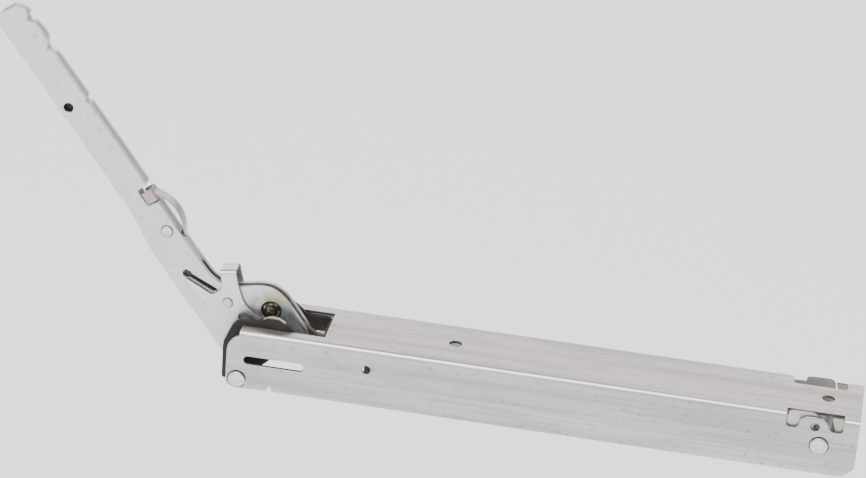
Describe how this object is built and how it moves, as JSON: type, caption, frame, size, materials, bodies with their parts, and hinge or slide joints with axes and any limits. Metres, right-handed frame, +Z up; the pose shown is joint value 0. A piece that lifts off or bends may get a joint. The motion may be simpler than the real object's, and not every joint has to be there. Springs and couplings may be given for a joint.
{
  "type": "friction stay hinge",
  "caption": "Spring-loaded lever stay hinge: a folding plate arm with a catch pulls a rod and compression spring inside a long sheet channel.",
  "frame": {"origin": "on the arm's pivot axis at mid width of the channel", "axes": "+X along the channel from the pivot to its rear end, +Y to the far side wall, +Z up through the channel's closed top"},
  "size_m": [0.4179, 0.0404, 0.1751],
  "materials": {
    "galvanised": "light grey zinc-coated sheet with fine rolling marks",
    "phosphated": "black phosphated steel, slightly greasy",
    "rivet_steel": "bright formed rivet head",
    "turned_steel": "plain turned steel, oiled",
    "galvanised_inner": "zinc-coated pressing",
    "zinc_arm": "bluish bright zinc plating",
    "zinc_core": "dull zinc plating",
    "zinc_catch": "warm grey zinc plating",
    "spring_strip": "hardened strip, straw brown",
    "greased_link": "dark brown greasy steel",
    "greased_steel": "steel darkened by grease",
    "spring_wire": "oiled spring wire"
  },
  "bodies": {
    "housing": {"housing_channel": "galvanised", "pivot_bracket": "phosphated", "pivot_rivet": "rivet_steel", "pivot_outer_spacers": "turned_steel", "pivot_inner_spacers": "turned_steel", "spring_seat": "galvanised_inner", "end_bracket": "galvanised_inner", "end_rivet": "rivet_steel", "end_spacer": "turned_steel", "spring": "spring_wire"},
    "arm": {"arm_plate_near": "zinc_arm", "arm_plate_far": "zinc_arm", "arm_core": "zinc_core", "arm_rivet": "rivet_steel", "bow_spring": "spring_strip", "catch_rivet": "rivet_steel", "link_pin": "greased_steel"},
    "catch": {"catch": "zinc_catch"},
    "link": {"link_bar": "greased_link", "link_end_pin": "greased_steel", "link_end_clip": "turned_steel"},
    "slider": {"rod_head": "greased_steel", "spring_rod": "turned_steel", "spring_washer": "galvanised_inner", "rod_nut": "turned_steel"}
  },
  "joints": [
    {"name": "arm_swing", "type": "hinge", "parent": "housing", "child": "arm", "pos_m": [0, 0, 0], "axis": [0, -1, 0], "range_deg": [-37, 53]},
    {"name": "catch_swing", "type": "hinge", "parent": "arm", "child": "catch", "pos_m": [-0.00903, 0, 0.03226], "axis": [0, 1, 0], "range_deg": [0, 20]},
    {"name": "link_swing", "type": "hinge", "parent": "arm", "child": "link", "pos_m": [0.01201, 0, 0.03059], "axis": [0, -1, 0], "range_deg": [-60, 42]},
    {"name": "rod_slide", "type": "slide", "parent": "housing", "child": "slider", "axis": [1, 0, 0], "range_m": [-0.029, 0.0203], "deforming": ["spring"]}
  ],
  "couplings": [
    {"joint": "link_swing", "follows": "arm_swing", "ratio": -1.1193},
    {"joint": "rod_slide", "follows": "arm_swing", "m_per_rad": -0.030832}
  ]
}
